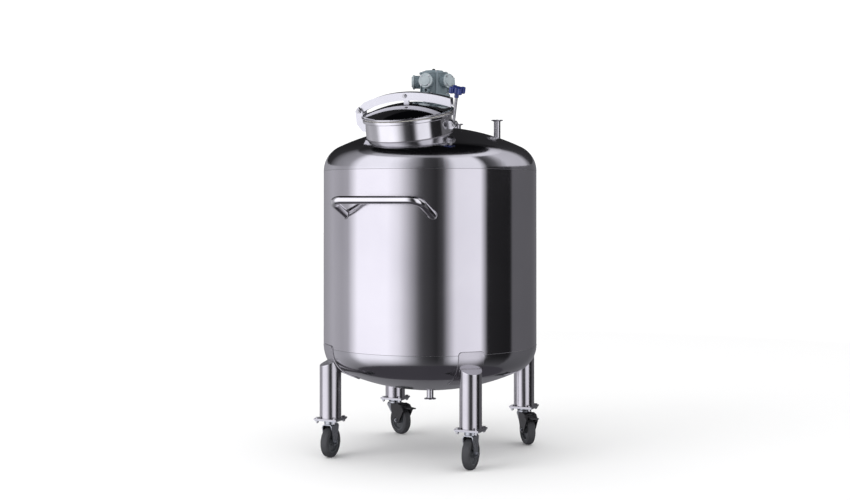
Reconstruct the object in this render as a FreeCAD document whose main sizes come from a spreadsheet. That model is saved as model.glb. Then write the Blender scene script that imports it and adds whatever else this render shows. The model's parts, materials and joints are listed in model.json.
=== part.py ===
import FreeCAD, Part
import Sketcher
import math
import os
import re

# Bulk milk tank on legs and castors. The origin is on the tank's axis at floor level, +Z is up
# and -Y is the front, where the manway and the push handle are. Sizes are in millimetres.

SIZES = {
    # vessel
    "tankRadius": 450,
    "wall": 3,
    "shellBottom": 448,
    "shellHeight": 732,
    "crownRadius": 900,
    "knuckleRadius": 112,
    # manway: its axis leans from the tank's axis towards the front, through the crown's centre
    "manwayTilt": 13.5,
    "neckRise": 82,
    "neckRadius": 178,
    "neckInset": 8,
    "rimRadius": 187,
    "rimHeight": 14,
    "rimRound": 3,
    "gasketHeight": 3,
    "gasketInset": 4,
    "lidRadius": 190,
    "lidEdge": 8,
    "lidRise": 37,
    "lidWall": 3,
    # clamp arm, hinge and swing bolt, in the manway's own frame
    "hingeReach": 211,
    "hingeHeight": 25,
    "eyeRadius": 14,
    "shoulderBack": 23,
    "kneeBack": 32,
    "armTop": 93,
    "armDepth": 33,
    "armWidth": 30,
    "armWall": 3,
    "armLeftRadius": 520,
    "armRightRadius": 640,
    "pinRadius": 6,
    "pinPlay": 0.05,
    "lugWall": 5,
    "lugGap": 1,
    "lugRim": 2,
    "lugTop": 20,
    "lugFoot": 62,
    "lugBend": 30,
    "clampLugRim": 13,
    "clampLugTop": 27,
    "pivotReach": 197,
    "pivotHeight": -44,
    "boltRadius": 6,
    "boltEyeRadius": 12,
    "boltEyeWall": 3,
    "slotPlay": 1,
    "forkOverrun": 3,
    "boltLean": 12.5,
    "linkBoltHeight": 79,
    "linkBoltRadius": 5,
    "linkWall": 10,
    "linkRadius": 11,
    "linkSetIn": 3,
    "knobLift": 3.6,
    "knobStem": 17,
    "knobStemRadius": 9,
    "knobHeight": 27,
    "knobCore": 19,
    "lobeReach": 25,
    "lobeRadius": 10,
    "knobRound": 4,
    "studCover": 8,
    # push handle
    "handleRadius": 16,
    "handleWall": 2,
    "handleHalfSpan": 189,
    "handleBelow": 123,
    "handleStandoff": 90,
    "handleDrop": 57,
    "handleBend": 48,
    "handleSetIn": 24,
    # tri-clamp ferrules
    "pipeRadius": 14.5,
    "boreRadius": 13,
    "ferruleRadius": 25.25,
    "ferruleEdge": 2.9,
    "ferruleTaper": 20,
    "pipeSetIn": 8,
    "sideReach": 285,
    "sideAngle": 26,
    "rearReach": 305,
    "ferruleRise": 30,
    "drainDrop": 46,
    # legs
    "legInset": 10,
    "legRadius": 44.45,
    "legWall": 2.5,
    "legSlope": 22,
    "legDrop": 76,
    "capWall": 4,
    "padWall": 4,
    "padWidth": 108,
    "padRise": 13,
    "padDrop": 130,
    "padDepth": 110,
    "padCorner": 14,
    "footSide": 102,
    "footWall": 6,
    # castors
    "castorClear": 31,
    "wheelRadius": 62.5,
    "wheelWidth": 32,
    "hubRadius": 46,
    "hubWidth": 28,
    "hubRim": 6,
    "hubStep": 9,
    "hubWeb": 10,
    "hubBoss": 13,
    "tyreRound": 8,
    "axleRadius": 5,
    "plateWall": 4,
    "plateLength": 100,
    "plateWidth": 90,
    "mountPitch": 80,
    "mountBolt": 4,
    "forkGap": 38,
    "forkWall": 3.5,
    "forkBend": 11,
    "forkBoss": 15,
    "forkSkirt": 12,
    "forkEdge": 3,
    "crownClear": 12,
    "kingpinRadius": 8,
    "raceRadius": 29,
    "raceHeight": 6,
    "racePlay": 0.3,
    "washerRadius": 13,
    "washerWall": 5,
    "trail": 43,
    "sidePlay": 0.6,
    "coverWall": 4,
    "pedalWidth": 30,
    "pedalLength": 62,
    "pedalWall": 5,
    "pedalBarrel": 6,
    "pedalPin": 3,
    "pedalBack": 37,
    "pedalDrop": 13,
    # agitator and its air motor, set back behind the manway
    "agitatorOffset": 38,
    "nozzleRadius": 45,
    "nozzleRise": 72,
    "flangeRadius": 70,
    "flangeWall": 14,
    "flangePitch": 57,
    "flangeBolt": 5,
    "adaptorRadius": 44,
    "adaptorTop": 10,
    "sealWall": 8,
    "sealCollar": 14,
    "motorRise": 129,
    "motorRadius": 58,
    "motorHeight": 98,
    "motorFoot": 70,
    "motorFootWall": 11,
    "caseWall": 7,
    "caseFloor": 14,
    "ribWidth": 7,
    "ribDepth": 12,
    "portRadius": 10.5,
    "portBore": 6.6,
    "portHeight": 23,
    "portDepth": 14,
    "cylinderRadius": 27,
    "cylinderReach": 82,
    "cylinderLift": 64,
    "headRadius": 31,
    "headWall": 7,
    "headDome": 4,
    "headStep": 9,
    "headRound": 1.5,
    "headBolt": 3.5,
    "caseBolt": 4,
    "coverHeight": 14,
    "coverWallTop": 6,
    "coverLip": 3,
    "coverStep": 14,
    "ventRadius": 7,
    "ventHeight": 9,
    "shaftRadius": 12.5,
    "shaftClear": 70,
    "shaftInMotor": 45,
    "impellerRadius": 140,
    "impellerWall": 5,
    "impellerPitch": 45,
    "impellerLift": 34,
    "impellerHub": 56,
    "impellerCollar": 10,
    "bladeHeight": 60,
}
WORD = re.compile(r"[A-Za-z]\w*")
THROUGH = "600"  # longer than anything that a cutting tool passes through

doc = FreeCAD.newDocument("BulkMilkTank")
sheet = doc.addObject("Spreadsheet::Sheet", "Sizes")
for row, (alias, value) in enumerate(SIZES.items(), start=1):
    sheet.set(f"A{row}", alias)
    sheet.set(f"B{row}", str(value))
    sheet.setAlias(f"B{row}", alias)
gauge = doc.addObject("Spreadsheet::Sheet", "Gauge")
doc.recompute()
finished = []


# ---- shared helpers ----
def full(formula):
    """Point each size's name at its cell in the sheet."""
    return WORD.sub(lambda word: "Sizes." + word[0] if word[0] in SIZES else word[0], str(formula))


def value(formula):
    """Work a formula out in the gauge sheet's one cell."""
    gauge.set("A1", "=" + full(formula))
    gauge.recompute()
    result = gauge.get("A1")
    return float(getattr(result, "Value", result))


def bind(thing, **formulas):
    for name, formula in formulas.items():
        thing.setExpression(name, full(formula))
    return thing


def place(thing, x=0, y=0, z=0, axis=(0, 0, 1), turn=0):
    thing.Placement = FreeCAD.Placement(
        FreeCAD.Vector(value(x), value(y), value(z)), FreeCAD.Rotation(FreeCAD.Vector(*axis), value(turn)))
    for name, formula in (("x", x), ("y", y), ("z", z)):
        thing.setExpression("Placement.Base." + name, full(formula))
    thing.setExpression("Placement.Rotation.Angle", full(turn))
    return thing


def finish(thing, name):
    thing.Label = name
    if thing.Label != name:
        raise SystemExit(f"the name {name} is taken")
    finished.append(thing)
    return thing


def sketch_on(body, role, corners, name):
    """Draw a closed outline. A corner (x, y, radius, side) is reached by an arc that bulges to
    the left of the way there for side 1 and to the right for side -1."""
    sketch = body.newObject("Sketcher::SketchObject", name)
    plane = [item for item in body.Origin.OriginFeatures if item.Role == role][0]
    sketch.AttachmentSupport = [(plane, "")]
    sketch.MapMode = "FlatFace"
    spots = [FreeCAD.Vector(value(corner[0]), value(corner[1]), 0) for corner in corners]
    starts = []
    for index, start in enumerate(spots):
        goal = (index + 1) % len(spots)
        end = spots[goal]
        if len(corners[goal]) == 2:
            edge = Part.LineSegment(start, end)
        else:
            radius = value(corners[goal][2])
            chord = end - start
            left = FreeCAD.Vector(-chord.y, chord.x, 0).normalize() * corners[goal][3]
            sag = radius - math.sqrt(max(0.0, radius ** 2 - chord.Length ** 2 / 4))
            middle = (start + end) * 0.5 + left * sag
            edge = Part.Arc(start, middle, end) if corners[goal][3] < 0 else Part.Arc(end, middle, start)
        number = sketch.addGeometry(edge, False)
        drawn = sketch.Geometry[number]
        starts.append(1 if drawn.StartPoint.distanceToPoint(start) < 1e-6 else 2)
    links = [Sketcher.Constraint("Coincident", index, 3 - starts[index], (index + 1) % len(spots),
                                 starts[(index + 1) % len(spots)]) for index in range(len(spots))]
    for link in links:
        sketch.addConstraint(link)
    for index, corner in enumerate(corners):
        for kind, formula in (("DistanceX", corner[0]), ("DistanceY", corner[1])):
            if kind == "DistanceX" and str(formula) == "0":
                sketch.addConstraint(Sketcher.Constraint("PointOnObject", index, starts[index], -2))
                continue
            rule = Sketcher.Constraint(kind, -1, 1, index, starts[index], value(formula))
            number = sketch.addConstraint(rule)
            sketch.setExpression(f"Constraints[{number}]", full(formula))
        if len(corner) == 4:
            rule = Sketcher.Constraint("Radius", (index - 1) % len(spots), value(corner[2]))
            number = sketch.addConstraint(rule)
            sketch.setExpression(f"Constraints[{number}]", full(corner[2]))
    return sketch


def turned(name, corners):
    """A body turned about its own Z axis from an outline of (radius, height) corners."""
    body = doc.addObject("PartDesign::Body", name)
    sketch = sketch_on(body, "XZ_Plane", corners, name + "_outline")
    revolution = body.newObject("PartDesign::Revolution", name + "_turned")
    revolution.Profile = sketch
    revolution.ReferenceAxis = (sketch, ["V_Axis"])
    revolution.Angle = 360
    sketch.Visibility = False
    return body


def padded(name, corners, width, role="XZ_Plane"):
    """A body padded both ways from an outline on one of its origin planes."""
    body = doc.addObject("PartDesign::Body", name)
    sketch = sketch_on(body, role, corners, name + "_outline")
    pad = body.newObject("PartDesign::Pad", name + "_pad")
    pad.Profile = sketch
    pad.SideType = "Symmetric"
    bind(pad, Length=width)
    return body


def cylinder(name, radius, height, x=0, y=0, z=0, axis=(0, 0, 1), turn=0):
    shape = doc.addObject("Part::Cylinder", name)
    bind(shape, Radius=radius, Height=height)
    return place(shape, x, y, z, axis, turn)


def pin_along_y(name, radius, length, x, z):
    """A round bar along Y, centred on Y = 0."""
    return cylinder(name, radius, length, x, f"({length}) / 2", z, (1, 0, 0), 90)


def hexagon(name, radius, height, x=0, y=0, z=0, axis=(0, 0, 1), turn=0):
    shape = doc.addObject("Part::Prism", name)
    shape.Polygon = 6
    bind(shape, Circumradius=radius, Height=height)
    return place(shape, x, y, z, axis, turn)


def box(name, length, width, height, x, y, z, axis=(0, 0, 1), turn=0):
    """A box whose near lower left corner is at x, y, z."""
    shape = doc.addObject("Part::Box", name)
    bind(shape, Length=length, Width=width, Height=height)
    return place(shape, x, y, z, axis, turn)


def cut(name, base, *tools):
    tool = tools[0] if len(tools) == 1 else join(name + "_tools", *tools)
    result = doc.addObject("Part::Cut", name)
    result.Base = base
    result.Tool = tool
    return result


def join(name, *shapes):
    result = doc.addObject("Part::MultiFuse", name)
    result.Shapes = list(shapes)
    return result


def common(name, first, second):
    result = doc.addObject("Part::Common", name)
    result.Base = first
    result.Tool = second
    return result


def soften(base, radius):
    """Round both rims of a round bar."""
    rounded = doc.addObject("Part::Fillet", base.Name + "_rounded")
    rounded.Base = base
    doc.recompute()
    size = value(radius)
    rounded.Edges = [(number, size, size) for number, edge in enumerate(base.Shape.Edges, start=1)
                     if edge.Curve.TypeId == "Part::GeomCircle"]
    return rounded


def group(name, shapes):
    """Separate solids that share one node."""
    result = doc.addObject("Part::Compound", name)
    result.Links = list(shapes)
    return result


# ---- vessel ----
RUN = "(tankRadius - knuckleRadius)"
SWEEP = "(crownRadius - knuckleRadius)"
RISE = f"sqrt({SWEEP} * {SWEEP} - {RUN} * {RUN})"
TOP_SEAM = "(shellBottom + shellHeight)"
TOP_CENTRE = f"({TOP_SEAM} - {RISE})"
BOTTOM_CENTRE = f"(shellBottom + {RISE})"
HEAD_TOP = f"({TOP_CENTRE} + crownRadius)"
HEAD_FOOT = f"({BOTTOM_CENTRE} - crownRadius)"
# heights and reaches that follow the vessel
FERRULE_TOP = f"({HEAD_TOP} + ferruleRise)"
NOZZLE_TOP = f"({HEAD_TOP} + nozzleRise)"
MOTOR_BASE = f"({HEAD_TOP} + motorRise)"
CYLINDER_HEIGHT = f"({MOTOR_BASE} + cylinderLift)"
DRAIN_FACE = f"({HEAD_FOOT} - drainDrop)"
SHAFT_FOOT = f"({HEAD_FOOT} + shaftClear)"
HANDLE_HEIGHT = f"({TOP_SEAM} - handleBelow)"
HANDLE_REACH = "(tankRadius + handleStandoff)"
LEG_REACH = "(tankRadius - legInset)"
LEG_TOP = "(shellBottom - legDrop)"
PAD_TOP = "(shellBottom + padRise)"
# heights that follow the wheels
CASTOR_HEIGHT = "(2 * wheelRadius + castorClear)"
CROWN_TOP = "(2 * wheelRadius + crownClear)"


def dish(name, seam, centre, way, inset="0", depth="wall"):
    """A dished head's wall: a knuckle arc and a crown arc, inset inwards and depth thick."""
    def meeting(shift):
        return (f"(crownRadius - {shift}) * {RUN} / {SWEEP}",
                f"{centre} + {way} * (crownRadius - {shift}) * {RISE} / {SWEEP}")
    outer = inset
    inner = f"({inset} + {depth})"
    return turned(name, [
        (f"tankRadius - {outer}", seam),
        (*meeting(outer), f"knuckleRadius - {outer}", -way),
        ("0", f"{centre} + {way} * (crownRadius - {outer})", f"crownRadius - {outer}", -way),
        ("0", f"{centre} + {way} * (crownRadius - {inner})"),
        (*meeting(inner), f"crownRadius - {inner}", way),
        (f"tankRadius - {inner}", seam, f"knuckleRadius - {inner}", way)])


MANWAY_REACH = "(sqrt(crownRadius^2 - neckRadius^2) + neckRise)"


def in_manway(thing):
    """Move a piece from the manway's frame: its Z is the manway's axis, its origin is in the rim's top."""
    return place(thing, 0, f"-{MANWAY_REACH} * sin(manwayTilt)",
                 f"{TOP_CENTRE} + {MANWAY_REACH} * cos(manwayTilt)", (1, 0, 0), "manwayTilt")


def ferrule_spots():
    return {"side_ferrule": ("sideReach * cos(sideAngle)", "sideReach * sin(sideAngle)", "sideReach"),
            "rear_ferrule": ("0", "rearReach", "rearReach")}


def vessel():
    barrel = turned("shell_barrel", [
        ("tankRadius", "shellBottom"), ("tankRadius", TOP_SEAM),
        ("tankRadius - wall", TOP_SEAM), ("tankRadius - wall", "shellBottom")])
    finish(barrel, "shell_barrel")
    manway_core = cylinder("manway_core", "neckRadius", THROUGH, 0, 0, f"-{THROUGH} / 2")
    manway_bore = in_manway(group("manway_bore", [manway_core]))
    nozzle_bore = cylinder("nozzle_bore", "nozzleRadius", THROUGH, 0, "agitatorOffset", TOP_SEAM)
    tools = [manway_bore, nozzle_bore]
    for name, (x, y, reach) in ferrule_spots().items():
        tools.append(cylinder(name + "_hole", "pipeRadius", THROUGH, x, y, TOP_SEAM))
    finish(cut("top_head_cut", dish("top_head_blank", TOP_SEAM, TOP_CENTRE, 1), *tools), "top_head")
    drain_bore = cylinder("drain_bore", "pipeRadius", "shellBottom")
    bottom = dish("bottom_head_blank", "shellBottom", BOTTOM_CENTRE, -1)
    finish(cut("bottom_head_cut", bottom, drain_bore), "bottom_head")


def manway():
    foot = f"sqrt((crownRadius - wall)^2 - neckRadius^2) - {MANWAY_REACH} - neckInset"
    neck = turned("manway_neck", [
        ("neckRadius", foot), ("neckRadius", "-rimHeight"),
        ("neckRadius - wall", "-rimHeight"), ("neckRadius - wall", foot)])
    finish(in_manway(neck), "manway_neck")
    rim = turned("manway_rim", [
        ("neckRadius - wall", "-rimHeight"), ("rimRadius - rimRound", "-rimHeight"),
        ("rimRadius", "rimRound - rimHeight", "rimRound", -1), ("rimRadius", "-rimRound"),
        ("rimRadius - rimRound", "0", "rimRound", -1), ("neckRadius - wall", "0")])
    finish(in_manway(rim), "manway_rim")
    gasket = turned("lid_gasket", [
        ("neckRadius - wall", "0"), ("rimRadius - gasketInset", "0"),
        ("rimRadius - gasketInset", "gasketHeight"), ("neckRadius - wall", "gasketHeight")])
    finish(in_manway(gasket), "lid_gasket")
    dome = "(neckRadius^2 + lidRise^2) / (2 * lidRise)"
    edge = "gasketHeight + lidEdge"
    lid = turned("manway_lid_blank", [
        ("neckRadius - lidWall", "gasketHeight"), ("lidRadius - rimRound", "gasketHeight"),
        ("lidRadius", "gasketHeight + rimRound", "rimRound", -1), ("lidRadius", f"{edge} - rimRound"),
        ("lidRadius - rimRound", edge, "rimRound", -1), ("neckRadius", edge),
        ("0", f"{edge} + lidRise", dome, -1), ("0", f"{edge} + lidRise - lidWall"),
        ("neckRadius - lidWall", f"{edge} - lidWall", f"{dome} - lidWall", 1)])
    weld_hole = cylinder("lid_weld_hole", "linkWall / 2 - 1", THROUGH)
    finish(in_manway(cut("manway_lid_cut", lid, weld_hole)), "manway_lid")
    ball = doc.addObject("Part::Sphere", "lid_dome_ball")
    bind(ball, Radius=dome)
    place(ball, 0, 0, f"{edge} + lidRise - {dome}")
    link = padded("lid_link_blank", [
        ("-linkRadius", f"{edge} + lidRise - linkSetIn"), ("linkRadius", f"{edge} + lidRise - linkSetIn"),
        ("linkRadius", "linkBoltHeight"), ("0", "linkBoltHeight + linkRadius", "linkRadius", -1),
        ("-linkRadius", "linkBoltHeight", "linkRadius", -1)], "linkWall")
    link_hole = pin_along_y("lid_link_hole", "linkBoltRadius", "2 * armWidth", 0, "linkBoltHeight")
    finish(in_manway(cut("lid_link_cut", link, ball, link_hole)), "lid_link")


def arm_edge(reach, shrink, radius):
    """Height of the arm's bowed edge, shrink below its top, at a reach from the manway's axis."""
    return f"armTop - {radius} + sqrt(({radius} - {shrink})^2 - ({reach})^2)"


def clamp_arm():
    tip = "(pivotReach + forkOverrun)"
    shoulder = "(hingeReach - shoulderBack)"
    knee = "(hingeReach - kneeBack)"
    outline = [
        (tip, arm_edge(tip, "armDepth", "armRightRadius")), (tip, arm_edge(tip, "0", "armRightRadius")),
        ("0", "armTop", "armRightRadius", -1),
        (f"-{shoulder}", arm_edge(shoulder, "0", "armLeftRadius"), "armLeftRadius", -1),
        ("-hingeReach", "hingeHeight + eyeRadius"),
        ("-hingeReach - eyeRadius", "hingeHeight", "eyeRadius", -1),
        ("-hingeReach", "hingeHeight - eyeRadius", "eyeRadius", -1),
        (f"-{knee}", arm_edge(knee, "armDepth", "armLeftRadius")),
        ("0", "armTop - armDepth", "armLeftRadius - armDepth", 1),
        (tip, arm_edge(tip, "armDepth", "armRightRadius"), "armRightRadius - armDepth", 1)]
    # the last corner is the first one again, so its arc closes the outline
    outline[0] = outline.pop()
    end = f"({tip} + eyeRadius)"
    start = "(hingeReach + 2 * eyeRadius)"
    hollow = padded("clamp_arm_hollow", [
        (end, "0"), (end, arm_edge(end, "armWall", "armRightRadius")),
        ("0", "armTop - armWall", "armRightRadius - armWall", -1),
        (f"-{start}", arm_edge(start, "armWall", "armLeftRadius"), "armLeftRadius - armWall", -1),
        (f"-{start}", "-eyeRadius")], "armWidth - 2 * armWall")
    slot_radius = "(boltRadius + slotPlay)"
    slot_round = cylinder("fork_slot_round", slot_radius, "2 * armTop", "pivotReach", 0, 0)
    slot = box("fork_slot", "2 * armWidth", f"2 * {slot_radius}", "2 * armTop",
               "pivotReach", f"-{slot_radius}", 0)
    eye = pin_along_y("arm_eye_hole", "pinRadius + pinPlay", "2 * armWidth", "-hingeReach", "hingeHeight")
    link_hole = pin_along_y("arm_link_hole", "linkBoltRadius", "2 * armWidth", 0, "linkBoltHeight")
    arm = cut("clamp_arm_cut", padded("clamp_arm_blank", outline, "armWidth"), hollow, slot_round, slot,
              eye, link_hole)
    finish(in_manway(arm), "clamp_arm")
    bolt = cross_bolt("lid_bolt", "linkBoltRadius", "armWidth", 0, "linkBoltHeight")
    finish(in_manway(bolt), "lid_bolt")


def cross_bolt(name, radius, grip, x, z):
    """A hexagon bolt along Y with its nut, gripping the faces grip apart."""
    head = f"(1.1 * {radius})"
    nut = f"(1.6 * {radius})"
    shank = pin_along_y(name + "_shank", radius, f"{grip} + 2 * {nut} + 4", x, z)
    front = hexagon(name + "_head", f"1.85 * {radius}", head, x, f"-({grip}) / 2", z, (1, 0, 0), 90)
    back = hexagon(name + "_nut", f"1.85 * {radius}", nut, x, f"({grip}) / 2 + {nut}", z, (1, 0, 0), 90)
    return join(name + "_joined", shank, front, back)


def lug_pair(name, outline, gap, x, z, bolt_name):
    """Two plates welded on the neck, gap apart, with a cross bolt through their eyes at x, z."""
    grip = f"({gap} + 2 * lugWall)"
    neck = cylinder(name + "_neck", "neckRadius", THROUGH, 0, 0, f"-{THROUGH} / 2")
    hole = pin_along_y(name + "_hole", "pinRadius", THROUGH, x, z)
    between = box(name + "_between", THROUGH, gap, THROUGH, f"{x} - {THROUGH} / 2", f"-{gap} / 2",
                  f"-{THROUGH} / 2")
    plates = padded(name + "_blank", outline, grip)
    finish(in_manway(cut(name + "_cut", plates, neck, hole, between)), name)
    finish(in_manway(cross_bolt(bolt_name, "pinRadius", grip, x, z)), bolt_name)


def clamp_lugs():
    """The arm's hinge lugs at -X and the swing bolt's lugs at +X."""
    eye = "(eyeRadius + lugRim)"
    root = "linkSetIn - neckRadius"
    hinge_outline = [
        (root, "-lugTop"), (root, "-lugFoot"), (f"-hingeReach + {eye} / 2", "-lugFoot"),
        (f"-hingeReach - {eye}", "-lugBend"), (f"-hingeReach - {eye}", "hingeHeight"),
        ("-hingeReach", f"hingeHeight + {eye}", eye, -1),
        (f"-hingeReach + {eye}", "hingeHeight", eye, -1), (f"-hingeReach + {eye}", "-lugTop")]
    gap = "(armWidth + 2 * lugGap)"
    lug_pair("hinge_lugs", hinge_outline, gap, "-hingeReach", "hingeHeight", "hinge_bolt")

    root = "neckRadius - linkSetIn"
    edge = "pivotReach + clampLugRim"
    clamp_outline = [
        (root, "-clampLugTop"), (root, "-lugFoot"), ("pivotReach", "-lugFoot"),
        (edge, "pivotHeight - clampLugRim / 2"), (edge, "pivotHeight"),
        ("pivotReach", "pivotHeight + clampLugRim", "clampLugRim", 1),
        ("neckRadius + lugWall", "-clampLugTop")]
    gap = "(2 * (boltRadius + boltEyeWall + lugGap))"
    lug_pair("clamp_lugs", clamp_outline, gap, "pivotReach", "pivotHeight", "clamp_pin")


def leaning(thing):
    """Put a swing bolt piece, drawn upright over the pivot, on its pivot and lean it outwards."""
    place(thing, "pivotReach", 0, "pivotHeight", (0, 1, 0), "boltLean")
    return in_manway(group(thing.Name + "_leaning", [thing]))


def swing_bolt():
    seat = f"({arm_edge('pivotReach', '0', 'armRightRadius')} - pivotHeight + knobLift)"
    eye = pin_along_y("swing_bolt_eye", "boltEyeRadius", "2 * (boltRadius + boltEyeWall)", 0, 0)
    stud = cylinder("swing_bolt_stud", "boltRadius", f"{seat} + knobStem + knobHeight - studCover")
    hole = pin_along_y("swing_bolt_hole", "pinRadius + pinPlay", THROUGH, 0, 0)
    finish(leaning(cut("swing_bolt_cut", join("swing_bolt_blank", eye, stud), hole)), "swing_bolt")

    stem = cylinder("knob_stem", "knobStemRadius", "knobStem + knobRound", 0, 0, seat)
    parts = [cylinder("knob_core", "knobCore", "knobHeight", 0, 0, f"{seat} + knobStem")]
    for number in range(4):
        angle = 45 + 90 * number
        x = f"lobeReach * cos({angle})"
        y = f"lobeReach * sin({angle})"
        parts.append(cylinder(f"knob_lobe_{number}", "lobeRadius", "knobHeight", x, y, f"{seat} + knobStem"))
    depth = "knobStem + knobHeight - studCover + 1"
    thread = cylinder("knob_thread", "boltRadius + pinPlay", depth, 0, 0, seat)
    rounded = [soften(part, "knobRound") for part in parts]
    finish(leaning(cut("star_knob_cut", join("knob_solid", stem, *rounded), thread)), "star_knob")


def push_handle():
    """A bent tube in a plane that rises from the shell towards the front."""
    back = "sqrt(tankRadius^2 - handleHalfSpan^2)"
    run = f"({HANDLE_REACH} - {back})"
    length = f"sqrt({run}^2 + handleDrop^2)"
    path = [("-handleHalfSpan", "-handleSetIn"), ("-handleHalfSpan", f"{length} - handleBend"),
            ("handleBend - handleHalfSpan", length, "handleBend", 1),
            ("handleHalfSpan - handleBend", length),
            ("handleHalfSpan", f"{length} - handleBend", "handleBend", 1), ("handleHalfSpan", "-handleSetIn")]
    tubes = []
    for name, radius in (("handle_outside", "handleRadius"), ("handle_inside", "handleRadius - handleWall")):
        spots = [FreeCAD.Vector(value(spot[0]), value(spot[1]), 0) for spot in path]
        bend = value("handleBend") * (1 - math.sqrt(0.5))
        left = FreeCAD.Vector(spots[1].x + bend, spots[2].y - bend, 0)
        right = FreeCAD.Vector(-left.x, left.y, 0)
        edges = [Part.LineSegment(spots[0], spots[1]), Part.Arc(spots[1], left, spots[2]),
                 Part.LineSegment(spots[2], spots[3]), Part.Arc(spots[3], right, spots[4]),
                 Part.LineSegment(spots[4], spots[5])]
        wire = Part.Wire([edge.toShape() for edge in edges])
        ring = Part.Wire([Part.makeCircle(value(radius), spots[0], FreeCAD.Vector(0, 1, 0))])
        tube = doc.addObject("Part::Feature", name)
        tube.Shape = wire.makePipeShell([ring], True, False)
        tubes.append(tube)
    rise = f"atan(handleDrop / {run})"
    tube = place(cut("handle_tube", *tubes), 0, f"-{back}", f"{HANDLE_HEIGHT} - handleDrop",
                 (1, 0, 0), f"180 deg - {rise}")
    shell = cylinder("handle_shell", "tankRadius", THROUGH, 0, 0, f"{HANDLE_HEIGHT} - {THROUGH} / 2")
    finish(cut("push_handle_cut", tube, shell), "push_handle")


def ferrule(name, foot):
    """A tri-clamp ferrule along Z, its face at 0 and its pipe's end at foot below."""
    neck = "-(ferruleEdge + (ferruleRadius - pipeRadius) * tan(ferruleTaper))"
    return turned(name, [
        ("boreRadius", "0"), ("ferruleRadius", "0"), ("ferruleRadius", "-ferruleEdge"),
        ("pipeRadius", neck), ("pipeRadius", foot), ("boreRadius", foot)])


def ferrules():
    for name, (x, y, reach) in ferrule_spots().items():
        dome = f"{TOP_CENTRE} + sqrt((crownRadius - wall)^2 - ({reach} + pipeRadius)^2)"
        foot = f"{dome} - pipeSetIn - {FERRULE_TOP}"
        finish(place(ferrule(name, foot), x, y, FERRULE_TOP), name)
    foot = f"-({BOTTOM_CENTRE} - crownRadius + pipeSetIn - {DRAIN_FACE})"
    drain = ferrule("drain_ferrule", foot)
    finish(place(drain, 0, 0, DRAIN_FACE, (1, 0, 0), 180), "drain_ferrule")


CORNERS = ((1, 1), (-1, 1), (-1, -1), (1, -1))
LEGS = {"front_left": -135, "front_right": -45, "rear_left": 135, "rear_right": 45}


def leg_spot(angle):
    return f"{LEG_REACH} * cos({angle})", f"{LEG_REACH} * sin({angle})"


def outside_tool(name, thick):
    """The vessel's lower outside grown by thick, as a solid for trimming the legs."""
    meet_x = f"(crownRadius + {thick}) * {RUN} / {SWEEP}"
    meet_z = f"{BOTTOM_CENTRE} - (crownRadius + {thick}) * {RISE} / {SWEEP}"
    return turned(name, [
        ("0", f"{PAD_TOP} + padWidth"), ("0", f"{BOTTOM_CENTRE} - crownRadius - {thick}"),
        (meet_x, meet_z, f"crownRadius + {thick}", -1),
        (f"tankRadius + {thick}", "shellBottom", f"knuckleRadius + {thick}", -1),
        (f"tankRadius + {thick}", f"{PAD_TOP} + padWidth")])


def legs():
    tubes = []
    caps = []
    pads = []
    feet = []
    for spot, angle in LEGS.items():
        x, y = leg_spot(angle)
        slope = "tan(legSlope)"
        low = LEG_TOP
        high = f"{LEG_TOP} + 2 * legRadius * {slope}"
        foot = f"{CASTOR_HEIGHT} + footWall"
        # in the leg's own frame +X points away from the tank's axis
        side = padded(f"leg_side_{spot}", [
            ("-legRadius", foot), ("legRadius", foot), ("legRadius", low), ("-legRadius", high)],
            "3 * legRadius")
        tube = cut(f"leg_pipe_{spot}", cylinder(f"leg_outside_{spot}", "legRadius", THROUGH, 0, 0, foot),
                   cylinder(f"leg_inside_{spot}", "legRadius - legWall", THROUGH, 0, 0, foot))
        tube = place(common(f"leg_cut_{spot}", tube, side), x, y, 0, (0, 0, 1), angle)
        tubes.append(cut(f"leg_tube_{spot}", tube, outside_tool(f"leg_trim_{spot}", "padWall")))
        cap_side = padded(f"cap_side_{spot}", [
            ("-legRadius", high), ("legRadius", low), ("legRadius", f"{low} + capWall"),
            ("-legRadius", f"{high} + capWall")], "3 * legRadius")
        cap_round = cylinder(f"cap_round_{spot}", "legRadius", THROUGH, 0, 0, foot)
        cap = common(f"cap_cut_{spot}", cap_round, cap_side)
        place(cap, x, y, 0, (0, 0, 1), angle)
        caps.append(cut(f"leg_cap_{spot}", cap, outside_tool(f"cap_trim_{spot}", "padWall")))
        half = "(padWidth / 2)"
        low = "shellBottom - padDrop"
        window = padded(f"pad_window_{spot}", [
            (f"-{half}", f"{low} + padCorner"), (f"padCorner - {half}", low, "padCorner", -1),
            (f"{half} - padCorner", low), (half, f"{low} + padCorner", "padCorner", -1),
            (half, f"{PAD_TOP} - padCorner"), (f"{half} - padCorner", PAD_TOP, "padCorner", -1),
            (f"padCorner - {half}", PAD_TOP), (f"-{half}", f"{PAD_TOP} - padCorner", "padCorner", -1)],
            "2 * padDepth", "YZ_Plane")
        place(window, x, y, 0, (0, 0, 1), angle)
        shell = cut(f"pad_shell_{spot}", outside_tool(f"pad_outer_{spot}", "padWall"),
                    outside_tool(f"pad_inner_{spot}", "0"))
        pads.append(common(f"leg_pad_{spot}", shell, window))
        foot_plate = box(f"foot_plate_{spot}", "footSide", "footSide", "footWall",
                         f"{x} - footSide / 2", f"{y} - footSide / 2", CASTOR_HEIGHT)
        holes = [cylinder(f"foot_hole_{spot}_{number}", "mountBolt", THROUGH,
                          f"{x} + ({dx}) * mountPitch / 2", f"{y} + ({dy}) * mountPitch / 2")
                 for number, (dx, dy) in enumerate(CORNERS)]
        feet.append(cut(f"foot_plate_cut_{spot}", foot_plate, *holes))
    finish(group("leg_tubes_group", tubes), "leg_tubes")
    finish(group("leg_caps_group", caps), "leg_caps")
    finish(group("leg_pads_group", pads), "leg_pads")
    finish(group("foot_plates_group", feet), "foot_plates")


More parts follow.
